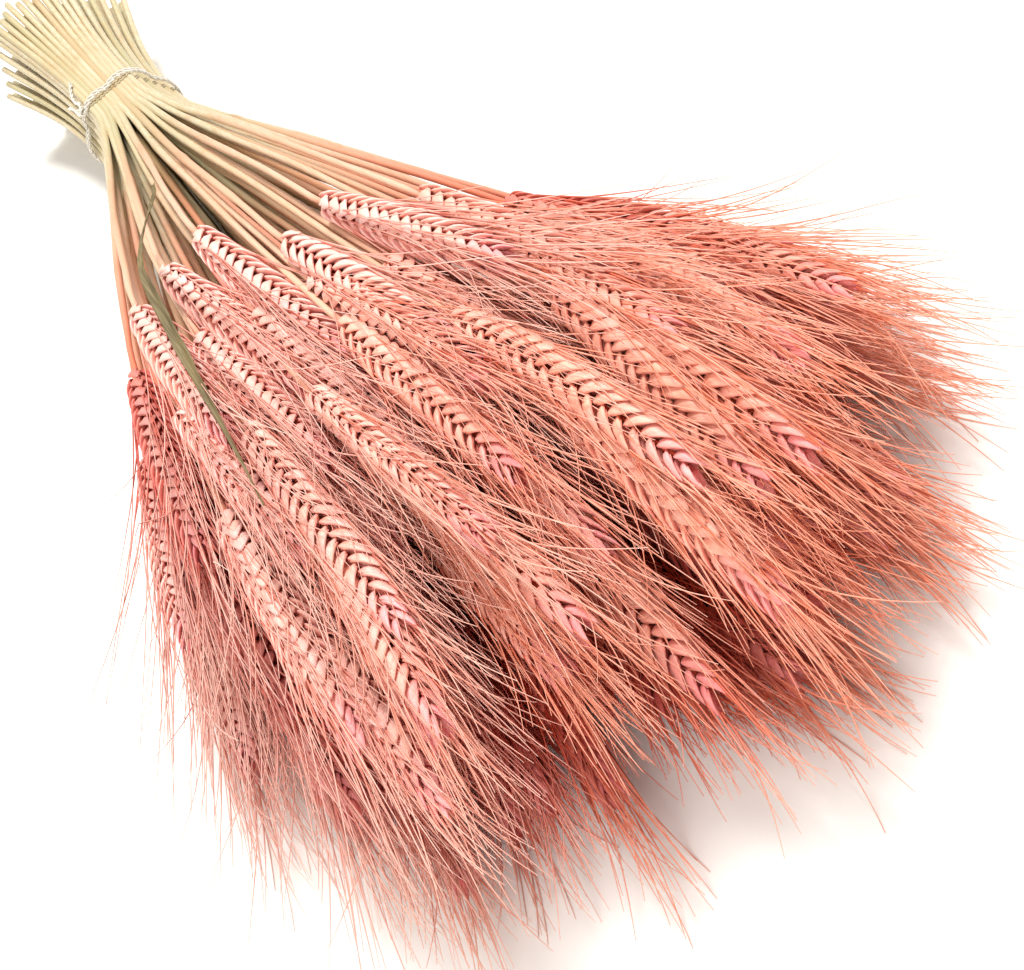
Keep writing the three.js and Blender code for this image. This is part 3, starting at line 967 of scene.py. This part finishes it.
def twineTree():
    # a two-ply cord along the line that comes in
    shape = twineShape
    t = Tree("layTwine", [
        ("Radius", "Float", 0.001), ("Lay", "Float", 0.006), ("Twine Finish", "Material", None)])
    line = t.made("GeometryNodeMeshToCurve", Mesh=t.given("Geometry"))
    line = t.made("GeometryNodeCurveSplineType", {"spline_type": "CATMULL_ROM"}, Curve=line)
    line = t.made("GeometryNodeResampleCurve", {"mode": "LENGTH"}, Curve=line, Length=shape["step"])
    length = t.node("GeometryNodeSplineParameter").outputs["Length"]
    tangent = t.made("GeometryNodeInputTangent")
    normal = t.made("GeometryNodeInputNormal")
    other = t.vectorMath("CROSS_PRODUCT", tangent, normal)
    plies = []
    for ply in range(2):
        phase = t.timesPlus(t.math("DIVIDE", length, t.given("Lay")), 2 * math.pi, ply * math.pi)
        out = t.times(t.given("Radius"), shape["plyOut"])
        shift = t.plus(t.scaled(normal, t.times(out, t.math("COSINE", phase))),
                       t.scaled(other, t.times(out, t.math("SINE", phase))))
        strand = t.shifted(line, shift)
        thick = t.times(t.given("Radius"), shape["plyRadius"])
        plies.append(t.tube(strand, shape["sides"], thick))
    return t.finish(t.finished(t.realized(t.smooth(t.join(*plies))), "Twine Finish"))


def onBundle(x, degrees, clear):
    # the place at that angle round the bundle where something lies on the straws
    ray = np.array((math.cos(math.radians(degrees)), math.sin(math.radians(degrees))))
    centres = np.array([smoothAt(stations[n], np.array([x]))[0][1:] for n in stalkNames])
    middle = centres.mean(axis=0)
    reach = ((centres - middle) @ ray).max()
    widest = np.linalg.norm(centres - middle, axis=1).max()
    close, round = twineShape["hug"]
    return np.array((x, *(middle + ray * (reach * close + widest * round + clear))))


def twineWraps(clear):
    shape = twineShape
    steps = shape["turnSteps"] * shape["turns"]
    return [onBundle(tie.x + (k / steps - 0.5) * shape["turns"] * shape["pitch"],
                     shape["knotAngle"] + 360 * shape["turns"] * k / steps, clear) for k in range(steps + 1)]


def twineKnot(heart):
    # a small trefoil that faces outwards
    start = math.radians(twineShape["knotAngle"])
    outward = np.array((0, math.cos(start), math.sin(start)))
    sideways = np.array((0, -outward[2], outward[1]))
    along = np.array((1.0, 0, 0))
    wide, tall, thick = twineShape["knotSize"]
    knot = []
    for k in range(twineShape["knotSteps"] + 1):
        u = 2 * math.pi * k / twineShape["knotSteps"]
        knot.append(heart + along * wide / 3 * (math.sin(u) + 2 * math.sin(2 * u))
                    + sideways * tall / 3 * (math.cos(u) - 2 * math.cos(2 * u))
                    + outward * thick * 0.6 * -math.sin(3 * u))
    return knot


def twineTail(heart, clear, lean, bend):
    shape = twineShape
    tail = [heart]
    for k in range(1, shape["tailSteps"] + 1):
        far = k / shape["tailSteps"]
        x = tie.x - shape["tailBack"] - far * shape["tail"] * shape["tailShare"]
        angle = shape["knotAngle"] + lean * (1 + far) + bend * math.sin(far * 3)
        tail.append(onBundle(x, angle, clear + shape["tailLift"] * (1 - far)))
    return tail


def layTwine():
    clear = strawShape["radius"] + twineShape["radius"] * 0.9
    heart = onBundle(tie.x, twineShape["knotAngle"], clear + twineShape["knotLift"])
    chains = [twineWraps(clear), twineKnot(heart)]
    chains += [twineTail(heart, clear, lean, bend) for lean, bend in twineShape["tails"]]
    points, edges = [], []
    for chain in chains:
        edges += [(len(points) + i, len(points) + i + 1) for i in range(len(chain) - 1)]
        points += chain
    piece = grown("tieTwine", plainMesh("twineLine", points, [], edges), twineTree(), {
        "Radius": twineShape["radius"], "Lay": twineShape["lay"], "Twine Finish": twineFinish})
    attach(piece, "root")
    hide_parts("twine")


layTwine()
print("twine laid")


leafShape = {
    "width": 0.72, "rows": 70, "columns": 8, "thickness": 0.28 * mm,
    "keel": 0.9 * mm, "keelFrom": 3 * mm,  # a narrower leaf is keeled less
    "ripple": 0.5 * mm, "rippleFrom": 4 * mm, "rippleStep": 0.55, "rippleApart": 2.1,
}


def leafSections():
    # the two edges of the node's own cross-sections
    sections = []
    for ring in ringPoints("dry_leaf"):
        low, high = ring[np.argmin(ring[:, 1])], ring[np.argmax(ring[:, 1])]
        sections.append((ring[:, 0].mean(), *low[1:], *high[1:]))
    return np.array(sections)


def leafPoint(sections, row, column, layer):
    # a keeled ribbon between the two edges, rippled along them
    leaf = leafShape
    x = sections[0, 0] + (sections[-1, 0] - sections[0, 0]) * row / leaf["rows"]
    low = [np.interp(x, sections[:, 0], sections[:, k]) for k in (1, 2)]
    high = [np.interp(x, sections[:, 0], sections[:, k]) for k in (3, 4)]
    trim = (1 - leaf["width"]) / 2
    low, high = ([p + (q - p) * t for p, q in zip(low, high)] for t in (trim, 1 - trim))
    wide = high[0] - low[0]
    v = column / leaf["columns"]
    fold = abs(2 * v - 1)
    wave = math.sin(row * leaf["rippleStep"] + leaf["rippleApart"] * (v > 0.5))
    lift = leaf["keel"] * (fold - 0.5) * min(1.0, wide / leaf["keelFrom"])
    lift += leaf["ripple"] * fold**3 * wave * min(1.0, wide / leaf["rippleFrom"])
    return (x, low[0] + wide * v, low[1] + (high[1] - low[1]) * v + lift + layer * leaf["thickness"] / 2)


def makeDryLeaf():
    rows, columns = leafShape["rows"], leafShape["columns"]
    sections = leafSections()
    points = [leafPoint(sections, row, column, layer) for layer in (1, -1)
              for row in range(rows + 1) for column in range(columns + 1)]
    wide = columns + 1
    under = (rows + 1) * wide
    faces = []
    for row in range(rows):
        for column in range(columns):
            a = row * wide + column
            quad = (a, a + wide, a + wide + 1, a + 1)
            faces.append(quad)
            faces.append(tuple(under + i for i in reversed(quad)))
    edge = list(range(wide)) + [row * wide + columns for row in range(1, rows + 1)]
    edge += [rows * wide + column for column in range(columns - 1, -1, -1)]
    edge += [row * wide for row in range(rows - 1, 0, -1)]
    for i, a in enumerate(edge):
        b = edge[(i + 1) % len(edge)]
        faces.append((a, b, under + b, under + a))
    made = plainMesh("driedLeaf", points, faces)
    made.polygons.foreach_set("use_smooth", [True] * len(made.polygons))
    made.materials.append(leafFinish)
    piece = newObject("driedLeaf", made)
    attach(piece, "root")
    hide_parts("dry_leaf")


makeDryLeaf()
print("leaf made")

bpy.data.objects.remove(husk)
